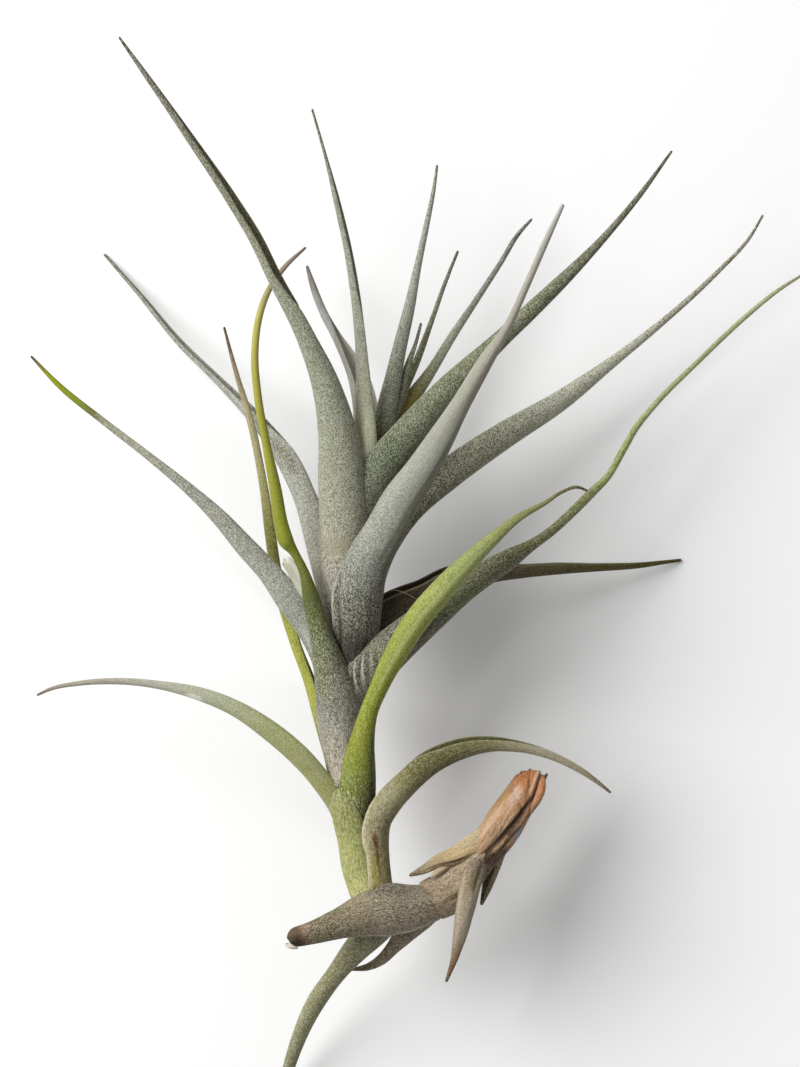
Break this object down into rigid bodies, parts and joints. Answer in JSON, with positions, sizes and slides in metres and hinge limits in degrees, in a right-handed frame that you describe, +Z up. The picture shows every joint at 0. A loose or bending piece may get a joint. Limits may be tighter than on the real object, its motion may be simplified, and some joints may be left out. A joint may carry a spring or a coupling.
{
  "type": "tillandsia air plant",
  "caption": "Lying air plant with a bent stem, clasping sheaths and long channelled leaves tapering to fine tips.",
  "frame": {"origin": "middle of the bottom of the bounding box, on the surface that the plant lies on", "axes": "+X to the right and +Y up along the plant as the picture shows it, +Z up from the surface, towards the picture's camera"},
  "size_m": [0.1946, 0.2728, 0.0936],
  "materials": {
    "grey_green_leaf": "matte",
    "yellow_green_leaf": "matte",
    "olive_brown_leaf": "matte",
    "dead_leaf": "matte",
    "papery_sheath": "matte",
    "stem_wood": "matte"
  },
  "bodies": {
    "root": {"stem": "stem_wood", "dry_sheath_end": "papery_sheath", "dry_sheath_low": "papery_sheath", "spine_left": "papery_sheath", "spine_front": "dead_leaf", "spine_back_low": "dead_leaf", "spine_back_right": "dead_leaf", "leaf_cut_stump": "dead_leaf", "leaf_torn_left": "dead_leaf", "leaf_arched_right": "grey_green_leaf", "sheath_green": "yellow_green_leaf", "leaf_arched_left": "grey_green_leaf", "leaf_green_front": "yellow_green_leaf", "leaf_curled_green": "yellow_green_leaf", "leaf_green_tip_left": "grey_green_leaf", "leaf_thin_left": "olive_brown_leaf", "leaf_long_green_right": "yellow_green_leaf", "leaf_front_right": "grey_green_leaf", "leaf_back_right": "olive_brown_leaf", "leaf_tall_left": "grey_green_leaf", "leaf_back_left": "grey_green_leaf", "leaf_low_right": "grey_green_leaf", "leaf_broad_right": "grey_green_leaf", "leaf_inner_left": "grey_green_leaf", "leaf_inner_back_left": "olive_brown_leaf", "leaf_centre": "grey_green_leaf", "leaf_inner_right": "grey_green_leaf", "leaf_heart": "grey_green_leaf", "leaf_heart_small": "grey_green_leaf", "leaf_bottom": "grey_green_leaf"}
  },
  "joints": []
}
